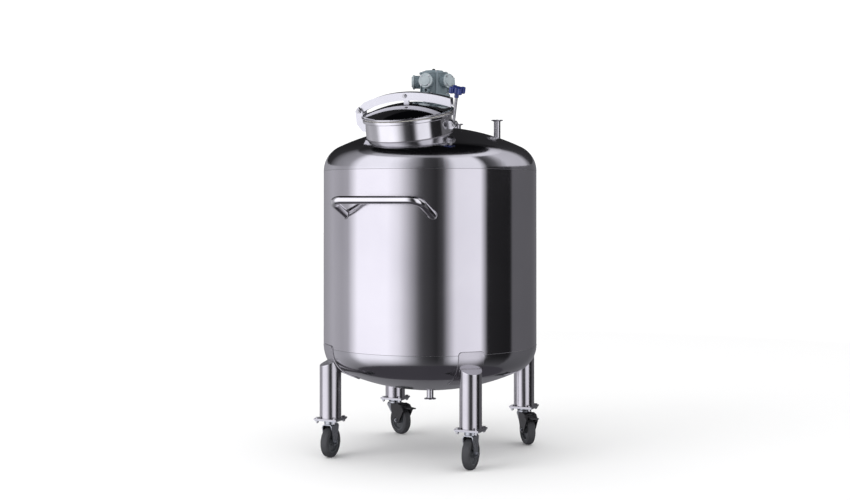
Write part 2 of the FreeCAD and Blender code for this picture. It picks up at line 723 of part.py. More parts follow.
# ---- castors, drawn with +X pointing from the swivel axis back over the trailing wheel ----
HEADINGS = {"front_left": -90, "front_right": -90, "rear_left": -30, "rear_right": -50}


def at_leg(thing, spot, turn):
    x, y = leg_spot(LEGS[spot])
    return place(thing, x, y, 0, (0, 0, 1), turn)


def mounting_plate(spot):
    plate = box(f"plate_{spot}", "plateLength", "plateWidth", "plateWall",
                "-plateLength / 2", "-plateWidth / 2", f"{CASTOR_HEIGHT} - plateWall")
    holes = [cylinder(f"plate_hole_{spot}_{number}", "mountBolt", THROUGH,
                      f"({dx}) * mountPitch / 2", f"({dy}) * mountPitch / 2")
             for number, (dx, dy) in enumerate(CORNERS)]
    return cut(f"plate_drilled_{spot}", plate, *holes)


def fork(spot, trail):
    """A pressed fork: its side outline and its front outline with rounded shoulders, hollowed out."""
    outer = "(forkGap / 2 + forkWall)"
    inner = "(forkGap / 2)"
    bend = "(forkBend - forkWall)"
    back = "-(raceRadius + forkEdge)"
    front_edge = f"raceRadius + forkEdge + {trail} / 8"
    side = padded(f"fork_side_{spot}", [
        (back, CROWN_TOP), (back, f"{CROWN_TOP} - forkSkirt"),
        (f"{trail} - forkBoss", "wheelRadius"), (trail, "wheelRadius - forkBoss", "forkBoss", -1),
        (f"{trail} + forkBoss", "wheelRadius", "forkBoss", -1),
        (front_edge, f"{CROWN_TOP} - forkSkirt"), (front_edge, CROWN_TOP)], f"4 * {outer}")
    front = padded(f"fork_front_{spot}", [
        (f"-{outer}", "0"), (outer, "0"), (outer, f"{CROWN_TOP} - forkBend"),
        (f"{outer} - forkBend", CROWN_TOP, "forkBend", -1), (f"forkBend - {outer}", CROWN_TOP),
        (f"-{outer}", f"{CROWN_TOP} - forkBend", "forkBend", -1)], THROUGH, "YZ_Plane")
    inside = padded(f"fork_inside_{spot}", [
        (f"-{inner}", "0"), (inner, "0"), (inner, f"{CROWN_TOP} - forkBend"),
        (f"{inner} - {bend}", f"{CROWN_TOP} - forkWall", bend, -1),
        (f"{bend} - {inner}", f"{CROWN_TOP} - forkWall"),
        (f"-{inner}", f"{CROWN_TOP} - forkBend", bend, -1)], THROUGH, "YZ_Plane")
    axle_hole = pin_along_y(f"fork_axle_hole_{spot}", "axleRadius", THROUGH, trail, "wheelRadius")
    return cut(f"fork_cut_{spot}", common(f"fork_blank_{spot}", side, front), inside, axle_hole)


def axle(spot, trail):
    return cross_bolt(f"axle_{spot}", "axleRadius", "forkGap + 2 * forkWall", trail, "wheelRadius")


def wheel(spot, trail, heading):
    half = "wheelWidth / 2"
    tread = "wheelRadius - tyreRound"
    tyre = turned(f"tyre_blank_{spot}", [
        ("hubRadius", f"-{half}"), (tread, f"-{half}"),
        ("wheelRadius", f"tyreRound - {half}", "tyreRound", -1),
        ("wheelRadius", f"{half} - tyreRound"), (tread, half, "tyreRound", -1), ("hubRadius", half)])
    rim = "hubWidth / 2"
    web = "hubWeb / 2"
    boss = "(forkGap / 2 - sidePlay)"
    bore = "axleRadius + pinPlay"
    hub = turned(f"hub_blank_{spot}", [
        (bore, f"-{boss}"), ("hubBoss", f"-{boss}"), ("hubBoss + 2", f"-{web}"),
        ("hubRadius - hubStep", f"-{web}"),
        ("hubRadius - hubRim", f"-{rim}"), ("hubRadius", f"-{rim}"), ("hubRadius", rim),
        ("hubRadius - hubRim", rim), ("hubRadius - hubStep", web), ("hubBoss + 2", web), ("hubBoss", boss),
        (bore, boss)])
    for name, piece in (("tyre", tyre), ("wheel_hub", hub)):
        place(piece, trail, 0, "wheelRadius", (1, 0, 0), 90)
        finish(at_leg(group(f"{name}_group_{spot}", [piece]), spot, heading), f"{name}_{spot}")


def fixed_castors():
    axles = []
    for spot in ("front_left", "front_right"):
        boss = cylinder(f"boss_{spot}", "raceRadius - forkEdge", f"{CASTOR_HEIGHT} - {CROWN_TOP} + 1", 0, 0,
                        f"{CROWN_TOP} - 1")
        plate = place(group(f"plate_turned_{spot}", [mounting_plate(spot)]), turn=-HEADINGS[spot])
        body = join(f"castor_joined_{spot}", fork(spot, "0"), boss, plate)
        finish(at_leg(body, spot, HEADINGS[spot]), f"fixed_fork_{spot}")
        axles.append(at_leg(axle(spot, "0"), spot, HEADINGS[spot]))
        wheel(spot, "0", HEADINGS[spot])
    finish(group("front_axles_group", axles), "front_axles")


def swivel_castors():
    for spot in ("rear_left", "rear_right"):
        heading = HEADINGS[spot]
        washer_top = f"{CROWN_TOP} - forkWall - racePlay"
        washer_foot = f"{washer_top} - washerWall"
        race_top = f"{CROWN_TOP} + raceHeight + racePlay"
        boss = turned(f"swivel_boss_{spot}", [
            ("0", washer_foot), ("washerRadius", washer_foot), ("washerRadius", washer_top),
            ("kingpinRadius", washer_top), ("kingpinRadius", race_top), ("raceRadius - forkEdge", race_top),
            ("raceRadius - forkEdge", f"{CASTOR_HEIGHT} - plateWall"), ("0", f"{CASTOR_HEIGHT} - plateWall")])
        plate = join(f"swivel_plate_joined_{spot}", boss, mounting_plate(spot))
        finish(at_leg(plate, spot, 0), f"swivel_plate_{spot}")

        cup = cylinder(f"race_cup_{spot}", "raceRadius", "raceHeight + 1", 0, 0, f"{CROWN_TOP} - 1")
        hole = cylinder(f"kingpin_hole_{spot}", "kingpinRadius + pinPlay", THROUGH)
        joined = join(f"swivel_fork_joined_{spot}", fork(spot, "trail"), cup)
        body = cut(f"swivel_fork_cut_{spot}", joined, hole)
        finish(at_leg(body, spot, heading), f"swivel_fork_{spot}")
        finish(at_leg(axle(spot, "trail"), spot, heading), f"axle_{spot}")
        wheel(spot, "trail", heading)
        brake(spot, heading)


def brake(spot, heading):
    """A housing round the fork and over the wheel, and the pedal that rocks on a pin in it."""
    inner = "(forkGap / 2 + forkWall + sidePlay)"
    outer = f"({inner} + coverWall)"
    arch = "(wheelRadius + coverWall)"
    pivot_x = "(trail + pedalBack)"
    pivot_z = f"({CROWN_TOP} - pedalDrop)"
    rear = f"(trail + {arch})"
    shell = padded(f"cover_shell_{spot}", [
        ("forkEdge", f"{CROWN_TOP} - 1"), ("forkEdge", f"{CROWN_TOP} - 2 * forkSkirt"),
        ("trail - 19", "wheelRadius"),
        ("trail", "wheelRadius - forkBoss"), ("trail + 23", "wheelRadius - 4"),
        (f"{rear} - 17", "wheelRadius + 37"), (f"{rear} - 9", f"{CROWN_TOP} - 25"),
        (pivot_x, f"{CROWN_TOP} - 3"), ("trail + 7", f"{CROWN_TOP} + 2"), ("trail - 9", f"{CROWN_TOP} - 1")],
        f"2 * {outer}")
    room = padded(f"cover_room_{spot}", [
        ("-raceRadius", "0"), (rear, "0"), (rear, "wheelRadius"),
        ("trail", f"wheelRadius + {arch}", arch, -1), ("trail", CASTOR_HEIGHT),
        ("-raceRadius", CASTOR_HEIGHT)],
        f"2 * {inner}")
    axle_room = pin_along_y(f"cover_axle_room_{spot}", "2.4 * axleRadius", THROUGH, "trail", "wheelRadius")
    notch_width = "(pedalWidth + 2 * sidePlay)"
    notch = box(f"cover_notch_{spot}", THROUGH, notch_width, "3 * pedalDrop", f"{pivot_x} - pedalBarrel - 3",
                f"-{notch_width} / 2", f"{pivot_z} - pedalBarrel - forkSkirt")
    pin_hole = pin_along_y(f"cover_pin_hole_{spot}", "pedalPin + pinPlay", THROUGH, pivot_x, pivot_z)
    cover = cut(f"cover_cut_{spot}", shell, room, axle_room, notch, pin_hole)
    finish(at_leg(cover, spot, heading), f"brake_cover_{spot}")

    barrel = pin_along_y(f"pedal_barrel_{spot}", "pedalBarrel", "pedalWidth", pivot_x, pivot_z)
    pin = pin_along_y(f"pedal_pin_{spot}", "pedalPin", f"2 * {outer} - 2", pivot_x, pivot_z)
    paddle = box(f"pedal_paddle_{spot}", "pedalLength", "pedalWidth", "pedalWall", pivot_x, "-pedalWidth / 2",
                 f"{pivot_z} - pedalWall / 2")
    finish(at_leg(join(f"pedal_joined_{spot}", barrel, pin, paddle), spot, heading), f"brake_pedal_{spot}")


def upright_bolt(name, radius, grip, x, y, z):
    """A hexagon bolt along Z with its head on top, gripping from z up, and its nut below."""
    head = f"(1.2 * {radius})"
    nut = f"(1.6 * {radius})"
    tail = f"({nut} + 3)"
    shank = cylinder(name + "_shank", radius, f"{grip} + {tail} + {head}", x, y, f"{z} - {tail}")
    top = hexagon(name + "_head", f"1.85 * {radius}", head, x, y, f"{z} + {grip}")
    bottom = hexagon(name + "_nut", f"1.85 * {radius}", nut, x, y, f"{z} - {nut}")
    return join(name, shank, top, bottom)


def castor_bolts():
    bolts = []
    for spot, angle in LEGS.items():
        x, y = leg_spot(angle)
        for number, (dx, dy) in enumerate(CORNERS):
            bolts.append(upright_bolt(
                f"castor_bolt_{spot}_{number}", "mountBolt", "(footWall + plateWall)",
                f"{x} + ({dx}) * mountPitch / 2", f"{y} + ({dy}) * mountPitch / 2",
                f"({CASTOR_HEIGHT} - plateWall)"))
    finish(group("castor_bolts_group", bolts), "castor_bolts")


# ---- agitator ----
FLANGE_ANGLES = (45, 135, 225, 315)
CYLINDER_ANGLES = (-90, -18, 54, 126, 198)


def finish_drive(thing, name):
    """Move a piece drawn about the agitator's axis to its place."""
    return finish(place(thing, 0, "agitatorOffset", 0), name)


def around(name, angle, radius, size, depth, foot, maker=cylinder):
    return maker(name, size, depth, f"({radius}) * cos({angle})", f"({radius}) * sin({angle})", foot)


def agitator_mount():
    foot = f"{TOP_CENTRE} + sqrt((crownRadius - wall)^2 - (nozzleRadius + agitatorOffset)^2) - pipeSetIn"
    neck = turned("nozzle_blank", [
        ("nozzleRadius", foot), ("nozzleRadius", f"{NOZZLE_TOP} - flangeWall"),
        ("flangeRadius", f"{NOZZLE_TOP} - flangeWall"), ("flangeRadius", NOZZLE_TOP),
        ("nozzleRadius - wall", NOZZLE_TOP), ("nozzleRadius - wall", foot)])
    bore = "shaftRadius + sealWall"
    plate = "motorFoot - sealWall / 2"
    adaptor = turned("adaptor_blank", [
        (bore, NOZZLE_TOP), ("flangeRadius", NOZZLE_TOP),
        ("flangeRadius", f"{NOZZLE_TOP} + flangeWall"), ("adaptorRadius", f"{NOZZLE_TOP} + flangeWall"),
        ("adaptorRadius", f"{MOTOR_BASE} - adaptorTop"), (plate, f"{MOTOR_BASE} - adaptorTop"),
        (plate, MOTOR_BASE), (bore, MOTOR_BASE)])
    for part_name, blank in (("agitator_nozzle", neck), ("motor_adaptor", adaptor)):
        holes = [around(f"{part_name}_hole_{angle}", angle, "flangePitch", "flangeBolt", "4 * flangeWall",
                        f"{NOZZLE_TOP} - 2 * flangeWall") for angle in FLANGE_ANGLES]
        finish_drive(cut(part_name + "_cut", blank, *holes), part_name)
    bolts = []
    for angle in FLANGE_ANGLES:
        x = f"flangePitch * cos({angle})"
        y = f"flangePitch * sin({angle})"
        bolts.append(upright_bolt(f"flange_bolt_{angle}", "flangeBolt", "(2 * flangeWall)", x, y,
                                  f"({NOZZLE_TOP} - flangeWall)"))
    finish_drive(group("flange_bolts_group", bolts), "flange_bolts")
    collar = f"{NOZZLE_TOP} - adaptorTop / 2"
    seal_top = f"{MOTOR_BASE} - adaptorTop"
    seal = turned("shaft_seal", [
        ("shaftRadius + pinPlay", collar), ("shaftRadius + sealCollar", collar),
        ("shaftRadius + sealCollar", NOZZLE_TOP), (bore, NOZZLE_TOP), (bore, seal_top),
        ("shaftRadius + pinPlay", seal_top)])
    finish_drive(seal, "shaft_seal")


def radial(thing, angle):
    """Turn a piece drawn along +X to its angle round the motor."""
    return place(thing, turn=angle)


def along_x(name, radius, length, start, height, maker=cylinder):
    return maker(name, radius, length, start, 0, height, (0, 1, 0), 90)


def motor_case(top):
    foot_top = f"{MOTOR_BASE} + motorFootWall"
    floor = f"{MOTOR_BASE} + caseFloor"
    inside = "motorRadius - caseWall"
    case = turned("crankcase_blank", [
        ("shaftRadius + pinPlay", MOTOR_BASE), ("motorFoot", MOTOR_BASE), ("motorFoot", foot_top),
        ("motorRadius", foot_top), ("motorRadius", top), (inside, top), (inside, floor),
        ("shaftRadius + pinPlay", floor)])
    ribs = []
    for angle in CYLINDER_ANGLES:
        rib = box(f"case_rib_{angle}", "ribDepth", "ribWidth", "motorHeight - motorFootWall",
                  f"{inside} + 2", "-ribWidth / 2", foot_top)
        ribs.append(radial(group(f"case_rib_turned_{angle}", [rib]), angle + 36))
    height = f"{MOTOR_BASE} + portHeight"
    port = cylinder("port_boss", "portRadius", "cylinderReach - motorRadius + caseWall - 2", 0,
                    f"-({inside} + 2)", height, (1, 0, 0), 90)
    port_hole = cylinder("port_hole", "portBore", THROUGH, 0, "portDepth - cylinderReach", height,
                         (1, 0, 0), 90)
    core = cylinder("case_core", inside, "motorHeight - caseFloor", 0, 0, floor)
    finish_drive(cut("crankcase_cut", join("crankcase_joined", case, port, *ribs), core, port_hole),
                 "motor_crankcase")


def cylinder_head(angle):
    """A round cap with a raised middle on the end of one cylinder."""
    cap = along_x(f"cap_{angle}", "headRadius", "headWall", "cylinderReach", CYLINDER_HEIGHT)
    dome = along_x(f"cap_dome_{angle}", "headRadius - headStep", "headDome + 1",
                   "cylinderReach + headWall - 1", CYLINDER_HEIGHT)
    rounded = doc.addObject("Part::Fillet", f"cap_rounded_{angle}")
    rounded.Base = join(f"cap_joined_{angle}", cap, dome)
    doc.recompute()
    size = value("headRound")
    rounded.Edges = [(number, size, size) for number, edge in enumerate(rounded.Base.Shape.Edges, start=1)
                     if edge.BoundBox.XMin > value("cylinderReach + 1") and edge.BoundBox.XLength < 1e-4]
    return radial(group(f"cap_turned_{angle}", [rounded]), angle)


def cap_bolt(angle, corner):
    pitch = "(headRadius - 1.4 * headBolt)"
    bolt = hexagon(f"cap_bolt_{angle}_{corner}", "headBolt", "headBolt", "cylinderReach + headWall",
                   f"{pitch} * cos({corner})", f"{CYLINDER_HEIGHT} + {pitch} * sin({corner})", (0, 1, 0), 90)
    return radial(group(f"cap_bolt_turned_{angle}_{corner}", [bolt]), angle)


def air_motor():
    top = f"({MOTOR_BASE} + motorHeight)"
    motor_case(top)
    barrels = []
    caps = []
    bolts = []
    for angle in CYLINDER_ANGLES:
        start = "motorRadius / 2"
        barrel = along_x(f"barrel_{angle}", "cylinderRadius", f"cylinderReach - {start}", start,
                         CYLINDER_HEIGHT)
        trim = cylinder(f"barrel_trim_{angle}", "motorRadius", THROUGH, 0, 0, MOTOR_BASE)
        barrels.append(radial(cut(f"barrel_cut_{angle}", barrel, trim), angle))
        caps.append(cylinder_head(angle))
        bolts.extend(cap_bolt(angle, corner) for corner in FLANGE_ANGLES)
        bolts.append(around(f"cover_bolt_{angle}", angle + 36, "motorRadius - 1.5 * caseBolt", "caseBolt",
                            "caseBolt", f"{top} + coverWallTop", hexagon))
        bolts.append(around(f"foot_bolt_{angle}", angle + 15, "motorFoot - 1.5 * caseBolt", "caseBolt",
                            "caseBolt", f"{MOTOR_BASE} + motorFootWall", hexagon))
    finish_drive(group("motor_cylinders_group", barrels), "motor_cylinders")
    finish_drive(group("cylinder_heads_group", caps), "cylinder_heads")
    finish_drive(group("motor_bolts_group", bolts), "motor_bolts")
    step = "motorRadius - coverStep"
    edge = "motorRadius + coverLip"
    crown = f"{top} + coverHeight"
    cover = turned("motor_cover", [
        ("0", top), (edge, top), (edge, f"{top} + coverWallTop"), (step, f"{top} + coverWallTop"),
        (f"{step} - 5", crown), ("0", crown)])
    finish_drive(cover, "motor_cover")
    shoulder = f"{crown} + 2 * ventHeight / 3"
    vent = turned("vent_plug", [
        ("0", crown), ("ventRadius", crown), ("ventRadius", shoulder),
        ("ventRadius - 3", f"{crown} + ventHeight"), ("0", f"{crown} + ventHeight")])
    finish_drive(vent, "vent_plug")


def agitator():
    finish(cylinder("agitator_shaft_bar", "shaftRadius", f"{MOTOR_BASE} + shaftInMotor - {SHAFT_FOOT}", 0,
                    "agitatorOffset", SHAFT_FOOT), "agitator_shaft")
    half = "impellerHub / 2"
    collar = "shaftRadius + impellerCollar"
    hub = turned("impeller_hub", [
        ("shaftRadius", f"-{half}"), (collar, f"-{half}"), (collar, half), ("shaftRadius", half)])
    blades = []
    root = "(shaftRadius + impellerCollar / 2)"
    for angle in (0, 120, 240):
        blade = box(f"blade_{angle}", f"impellerRadius - {root}", "impellerWall", "bladeHeight", root, 0, 0)
        centred = place(group(f"blade_centred_{angle}", [blade]), 0, "-impellerWall / 2", "-bladeHeight / 2")
        pitched = place(group(f"blade_pitched_{angle}", [centred]), axis=(1, 0, 0), turn="impellerPitch")
        blades.append(place(group(f"blade_turned_{angle}", [pitched]), turn=angle))
    bore = cylinder("impeller_bore", "shaftRadius", THROUGH, 0, 0, f"-{THROUGH} / 2")
    impeller = cut("impeller_cut", join("impeller_blank", hub, *blades), bore)
    finish(place(impeller, 0, "agitatorOffset", f"{SHAFT_FOOT} + impellerLift"), "impeller")


def check():
    """Stop if any object failed or any finished piece isn't sound."""
    doc.recompute()
    faults = [f"{item.Name} {item.State}" for item in doc.Objects
              if "Invalid" in item.State or "Error" in item.State]
    for piece in finished:
        if piece.Shape.isNull() or not piece.Shape.isValid() or not piece.Shape.Solids:
            faults.append(f"{piece.Label} isn't sound")
    if faults:
        raise SystemExit("failed: " + "; ".join(faults))


def write():
    os.makedirs("parts", exist_ok=True)
    for piece in finished:
        piece.Shape.exportStep(f"parts/{piece.Label}.step")
        print(f"{piece.Label}: {len(piece.Shape.Solids)} solids, {piece.Shape.Volume / 1000:.1f} cm3")
    print(len(finished), "nodes")


vessel()
manway()
clamp_arm()
clamp_lugs()
swing_bolt()
push_handle()
ferrules()
legs()
fixed_castors()
swivel_castors()
castor_bolts()
agitator_mount()
air_motor()
agitator()
check()
write()
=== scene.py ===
import bpy
import json
import math
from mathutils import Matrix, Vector


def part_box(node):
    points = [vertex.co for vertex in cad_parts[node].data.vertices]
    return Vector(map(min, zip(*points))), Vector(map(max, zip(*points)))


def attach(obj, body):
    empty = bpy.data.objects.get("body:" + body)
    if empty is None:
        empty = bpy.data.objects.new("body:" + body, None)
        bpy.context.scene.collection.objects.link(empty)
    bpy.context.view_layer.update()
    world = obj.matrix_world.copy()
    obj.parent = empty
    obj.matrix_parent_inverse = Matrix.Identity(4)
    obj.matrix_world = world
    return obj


# Looks for the milk tank on castors: finishes for the CAD nodes, then welds, seams, seals, fins and a thread,
# then a pale floor, a studio ring and the camera. Metres, in the CAD model's own frame.

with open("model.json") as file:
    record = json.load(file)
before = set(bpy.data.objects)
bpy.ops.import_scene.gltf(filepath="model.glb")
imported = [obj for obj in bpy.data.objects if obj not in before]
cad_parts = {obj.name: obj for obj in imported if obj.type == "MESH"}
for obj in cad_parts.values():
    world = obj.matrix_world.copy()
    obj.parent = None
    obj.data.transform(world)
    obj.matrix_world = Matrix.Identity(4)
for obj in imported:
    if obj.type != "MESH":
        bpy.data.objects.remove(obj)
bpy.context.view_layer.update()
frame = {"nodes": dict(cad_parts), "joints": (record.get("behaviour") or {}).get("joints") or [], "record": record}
millimetre = 0.001


def linearColour(hexText):
    channels = [int(hexText[start:start + 2], 16) / 255 for start in (1, 3, 5)]
    return [part / 12.92 if part <= 0.04045 else ((part + 0.055) / 1.055) ** 2.4 for part in channels] + [1.0]


def addNode(material, kind, settings, links=None):
    node = material.node_tree.nodes.new(kind)
    for name, value in settings.items():
        if isinstance(name, int) or name in node.inputs:
            node.inputs[name].default_value = value
        else:
            setattr(node, name, value)
    for name, socket in (links or {}).items():
        material.node_tree.links.new(socket, node.inputs[name])
    return node


def newMaterial(name, settings):
    # settings go straight onto the shader's sockets
    material = bpy.data.materials.new(name)
    material.use_nodes = True
    shader = material.node_tree.nodes["Principled BSDF"]
    for socket, value in settings.items():
        shader.inputs[socket].default_value = value
    return material, shader


def deselectAll():
    if bpy.context.mode != "OBJECT":
        bpy.ops.object.mode_set(mode="OBJECT")
    bpy.ops.object.select_all(action="DESELECT")


def pick(piece):
    deselectAll()
    piece.select_set(True)
    bpy.context.view_layer.objects.active = piece


def settle(piece, name, body, finish, smoothAngle):
    # a finished piece: its place goes into its mesh, and it rides on its body
    pick(piece)
    bpy.ops.object.transform_apply(location=True, rotation=True, scale=True)
    bpy.ops.object.shade_smooth_by_angle(angle=math.radians(smoothAngle))
    piece.name = name
    piece.data.name = name
    piece.data.materials.clear()
    piece.data.materials.append(finish)
    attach(piece, body)


def steelFinish(user):
    # stainless, plated or machined metal: a slightly uneven grey, with polishing lines that stretch reflections
    material, shader = newMaterial(user["name"], {"Metallic": 1.0, "Anisotropic": user["stretch"]})
    coordinates = addNode(material, "ShaderNodeTexCoord", {})
    across, along = user["grain"]
    spacing = {"around": (along, along, across), "up": (across, across, along), "even": (across,) * 3}
    turned = addNode(material, "ShaderNodeMapping", {
        "Scale": [1 / (size * millimetre) for size in spacing[user["lines"]]]},
        {"Vector": coordinates.outputs["Object"]})
    grain = addNode(material, "ShaderNodeTexNoise", {"Scale": 1.0, "Detail": 3.0, "Roughness": 0.6},
                    {"Vector": turned.outputs["Vector"]})
    clouds = addNode(material, "ShaderNodeTexNoise", {
        "Scale": 1 / (user["cloud"] * millimetre), "Detail": 4.0, "Roughness": 0.55, "Distortion": 0.4},
        {"Vector": coordinates.outputs["Object"]})
    mixed = addNode(material, "ShaderNodeMath", {"operation": "MULTIPLY_ADD", 1: user["grainShare"]},
                    {0: grain.outputs["Fac"], 2: clouds.outputs["Fac"]})
    gloss = addNode(material, "ShaderNodeMapRange", {
        "From Min": 0.35, "From Max": 0.65 + user["grainShare"],
        "To Min": user["roughness"][0], "To Max": user["roughness"][1]}, {"Value": mixed.outputs["Value"]})
    tone = addNode(material, "ShaderNodeMixRGB", {
        "Color1": linearColour(user["dull"]), "Color2": linearColour(user["bright"])},
        {"Fac": clouds.outputs["Fac"]})
    relief = addNode(material, "ShaderNodeBump", {
        "Strength": user["relief"], "Distance": 0.2 * millimetre}, {"Height": grain.outputs["Fac"]})
    links = material.node_tree.links
    links.new(gloss.outputs["Result"], shader.inputs["Roughness"])
    links.new(tone.outputs["Color"], shader.inputs["Base Color"])
    links.new(relief.outputs["Normal"], shader.inputs["Normal"])
    if user["stretch"] > 0:
        tangent = addNode(material, "ShaderNodeTangent", {"direction_type": "RADIAL", "axis": "Z"})
        links.new(tangent.outputs["Tangent"], shader.inputs["Tangent"])
        shader.inputs["Anisotropic Rotation"].default_value = 0.25
    return material


def mouldedFinish(user):
    # moulded, cast or painted: a fine even skin over slow changes of tone, with duller high spots
    material, shader = newMaterial(user["name"], {
        "Metallic": 0.0, "IOR": user["ior"], "Coat Weight": user["coat"], "Coat Roughness": 0.08})
    coordinates = addNode(material, "ShaderNodeTexCoord", {})
    skin = addNode(material, "ShaderNodeTexNoise", {
        "Scale": 1 / (user["grain"] * millimetre), "Detail": 2.0}, {"Vector": coordinates.outputs["Object"]})
    clouds = addNode(material, "ShaderNodeTexNoise", {
        "Scale": 1 / (user["cloud"] * millimetre), "Detail": 4.0, "Roughness": 0.6},
        {"Vector": coordinates.outputs["Object"]})
    tone = addNode(material, "ShaderNodeMixRGB", {
        "Color1": linearColour(user["dull"]), "Color2": linearColour(user["bright"])},
        {"Fac": clouds.outputs["Fac"]})
    gloss = addNode(material, "ShaderNodeMapRange", {
        "From Min": 0.3, "From Max": 0.7, "To Min": user["roughness"][0], "To Max": user["roughness"][1]},
        {"Value": clouds.outputs["Fac"]})
    relief = addNode(material, "ShaderNodeBump", {
        "Strength": user["relief"], "Distance": 0.3 * millimetre}, {"Height": skin.outputs["Fac"]})
    links = material.node_tree.links
    links.new(tone.outputs["Color"], shader.inputs["Base Color"])
    links.new(gloss.outputs["Result"], shader.inputs["Roughness"])
    links.new(relief.outputs["Normal"], shader.inputs["Normal"])
    return material


steelUser = {
    # rolled sheet, polished round the barrel: soft upright bands. Real grit lines are under 0.1 mm apart
    "shell_steel": {"name": "stainlessSatinRolled", "dull": "#c3c1c6", "bright": "#d4d2d5",
                    "roughness": (0.08, 0.15), "grain": (5, 260), "lines": "around", "cloud": 330,
                    "grainShare": 0.5, "relief": 0.04, "stretch": 0.7},
    # spun head, polished brighter than the barrel
    "head_steel": {"name": "stainlessSpunPolished", "dull": "#bcbbbf", "bright": "#cfced1",
                   "roughness": (0.08, 0.16), "grain": (6, 200), "lines": "around", "cloud": 240,
                   "grainShare": 0.5, "relief": 0.03, "stretch": 0.4},
    # rolled strip, buffed: crisp upright bands on the manway's neck
    "neck_steel": {"name": "stainlessRolledNeck", "dull": "#c8c7ca", "bright": "#dddcde",
                   "roughness": (0.08, 0.16), "grain": (2.5, 90), "lines": "around", "cloud": 90,
                   "grainShare": 0.6, "relief": 0.06, "stretch": 0.3},
    # mirror polished dome: reflects the dark ceiling with sharp edges
    "lid_steel": {"name": "stainlessMirrorDome", "dull": "#b9b8bb", "bright": "#cac9cb",
                  "roughness": (0.04, 0.10), "grain": (3, 60), "lines": "around", "cloud": 120,
                  "grainShare": 0.3, "relief": 0.02, "stretch": 0.0},
    # pressed plate, buffed to an even pale sheen without clear reflections
    "bright_steel": {"name": "stainlessBrightPressed", "dull": "#bdbdc1", "bright": "#d2d2d5",
                     "roughness": (0.20, 0.32), "grain": (1.5, 40), "lines": "even", "cloud": 45,
                     "grainShare": 0.5, "relief": 0.05, "stretch": 0.0},
    # turned and milled bar: greyer, with fine tool marks that break up the highlights
    "fastener_steel": {"name": "stainlessMachinedBolt", "dull": "#a9a9ab", "bright": "#c4c4c6",
                       "roughness": (0.22, 0.36), "grain": (0.8, 8), "lines": "around", "cloud": 18,
                       "grainShare": 0.5, "relief": 0.08, "stretch": 0.0},
    # drawn tube, mirror polished: a hard bright line along the bar with dark edges
    "handle_steel": {"name": "stainlessMirrorTube", "dull": "#cfced0", "bright": "#dedddf",
                     "roughness": (0.05, 0.12), "grain": (2, 30), "lines": "even", "cloud": 80,
                     "grainShare": 0.3, "relief": 0.02, "stretch": 0.0},
    # turned on a lathe: rings round the flange that soften the reflections
    "ferrule_steel": {"name": "stainlessTurnedFerrule", "dull": "#bfbec1", "bright": "#d6d5d8",
                      "roughness": (0.12, 0.22), "grain": (1, 30), "lines": "around", "cloud": 40,
                      "grainShare": 0.6, "relief": 0.06, "stretch": 0.0},
    # drawn tube, belt polished along its length: duller than the barrel
    "leg_steel": {"name": "stainlessSatinLegTube", "dull": "#b4b2b6", "bright": "#cac8cb",
                  "roughness": (0.15, 0.22), "grain": (3, 240), "lines": "up", "cloud": 110,
                  "grainShare": 0.3, "relief": 0.025, "stretch": 0.0},
    # cut from satin sheet: a shade darker than the barrel that it is welded to
    "pad_steel": {"name": "stainlessSatinPad", "dull": "#aeacb0", "bright": "#c6c4c8",
                  "roughness": (0.16, 0.24), "grain": (3, 90), "lines": "up", "cloud": 80,
                  "grainShare": 0.3, "relief": 0.03, "stretch": 0.0},
    # laser cut plate, left as cut: flat and slightly cloudy
    "plate_steel": {"name": "stainlessLaserCutPlate", "dull": "#a8a7aa", "bright": "#bfbec1",
                    "roughness": (0.20, 0.30), "grain": (2, 30), "lines": "even", "cloud": 40,
                    "grainShare": 0.4, "relief": 0.03, "stretch": 0.0},
    # bright zinc over pressed steel: faint spangle and a cool cast
    "zinc_steel": {"name": "zincPlatedPressing", "dull": "#9fa2a6", "bright": "#c2c5c9",
                   "roughness": (0.20, 0.38), "grain": (1.2, 6), "lines": "even", "cloud": 14,
                   "grainShare": 0.5, "relief": 0.08, "stretch": 0.0},
    # machined aluminium: cool and matt, with turning rings
    "adaptor_steel": {"name": "aluminiumMachinedAdaptor", "dull": "#a9acae", "bright": "#c3c6c8",
                      "roughness": (0.26, 0.40), "grain": (0.8, 40), "lines": "around", "cloud": 30,
                      "grainShare": 0.6, "relief": 0.08, "stretch": 0.0},
    # ground bar: narrow soft highlights along its length
    "shaft_steel": {"name": "stainlessGroundShaft", "dull": "#bdbcbf", "bright": "#d0cfd2",
                    "roughness": (0.12, 0.22), "grain": (0.8, 60), "lines": "around", "cloud": 60,
                    "grainShare": 0.5, "relief": 0.05, "stretch": 0.0}}

